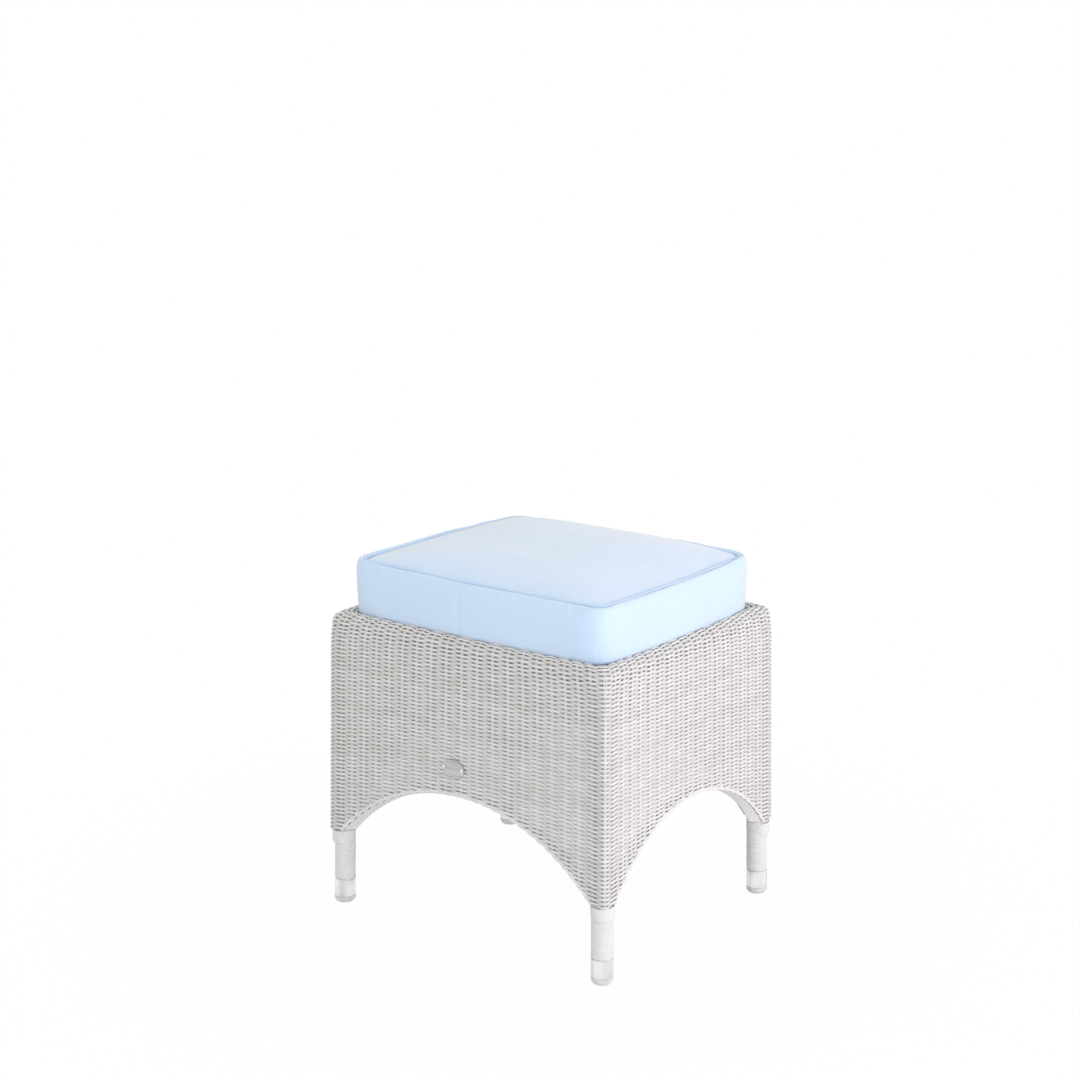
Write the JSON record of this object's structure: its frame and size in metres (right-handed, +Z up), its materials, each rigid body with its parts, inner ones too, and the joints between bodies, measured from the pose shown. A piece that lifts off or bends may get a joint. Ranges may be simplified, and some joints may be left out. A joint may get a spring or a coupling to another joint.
{
  "type": "outdoor ottoman footstool",
  "caption": "Woven outdoor footstool with arched skirt, wrapped tube legs with metal ferrules, and a loose piped box cushion in a recessed seat.",
  "frame": {"origin": "on the floor, under the middle of the stool", "axes": "+Z up, front with the badge faces -Y, long side along X"},
  "size_m": [0.4524, 0.3883, 0.4747],
  "materials": {
    "strand": "woven all-weather strand, off-white",
    "frame_paint": "satin powder coat on aluminium tube",
    "ferrule": "brushed lengthways",
    "glide": "moulded, satin",
    "cushion_fabric": "plain woven outdoor canvas, pale blue",
    "piping": "self piping in the cover's canvas",
    "foam": "quick-dry foam",
    "zip": "coil zip on woven tape",
    "badge": "bare plate, lightly brushed"
  },
  "bodies": {
    "frame": {"leg_tube_front_left": "frame_paint", "leg_wrap_front_left": "strand", "leg_ferrule_front_left": "ferrule", "foot_glide_front_left": "glide", "leg_tube_front_right": "frame_paint", "leg_wrap_front_right": "strand", "leg_ferrule_front_right": "ferrule", "foot_glide_front_right": "glide", "leg_tube_rear_left": "frame_paint", "leg_wrap_rear_left": "strand", "leg_ferrule_rear_left": "ferrule", "foot_glide_rear_left": "glide", "leg_tube_rear_right": "frame_paint", "leg_wrap_rear_right": "strand", "leg_ferrule_rear_right": "ferrule", "foot_glide_rear_right": "glide", "top_rail_front": "frame_paint", "seat_rail_front": "frame_paint", "arch_rail_front": "frame_paint", "woven_panel_front": "strand", "top_rail_rear": "frame_paint", "seat_rail_rear": "frame_paint", "arch_rail_rear": "frame_paint", "woven_panel_rear": "strand", "top_rail_left": "frame_paint", "seat_rail_left": "frame_paint", "arch_rail_left": "frame_paint", "woven_panel_left": "strand", "top_rail_right": "frame_paint", "seat_rail_right": "frame_paint", "arch_rail_right": "frame_paint", "woven_panel_right": "strand", "seat_slat_1": "frame_paint", "seat_slat_2": "frame_paint", "seat_slat_3": "frame_paint", "seat_slat_4": "frame_paint", "seat_slat_5": "frame_paint", "seat_slat_6": "frame_paint", "badge_plate": "badge", "badge_rivet_left": "badge", "badge_rivet_right": "badge"},
    "cushion": {"cushion_cover": "cushion_fabric", "foam_core": "foam", "cushion_piping_top": "piping", "cushion_piping_bottom": "piping", "zip_tape": "zip"},
    "zip_slider": {"zip_slider": "badge"}
  },
  "joints": [
    {"name": "cushion_lift", "type": "slide", "parent": "frame", "child": "cushion", "axis": [0, 0, 1], "range_m": [0, 0.12]},
    {"name": "zip_run", "type": "slide", "parent": "cushion", "child": "zip_slider", "axis": [1, 0, 0], "range_m": [0, 0.265]}
  ]
}
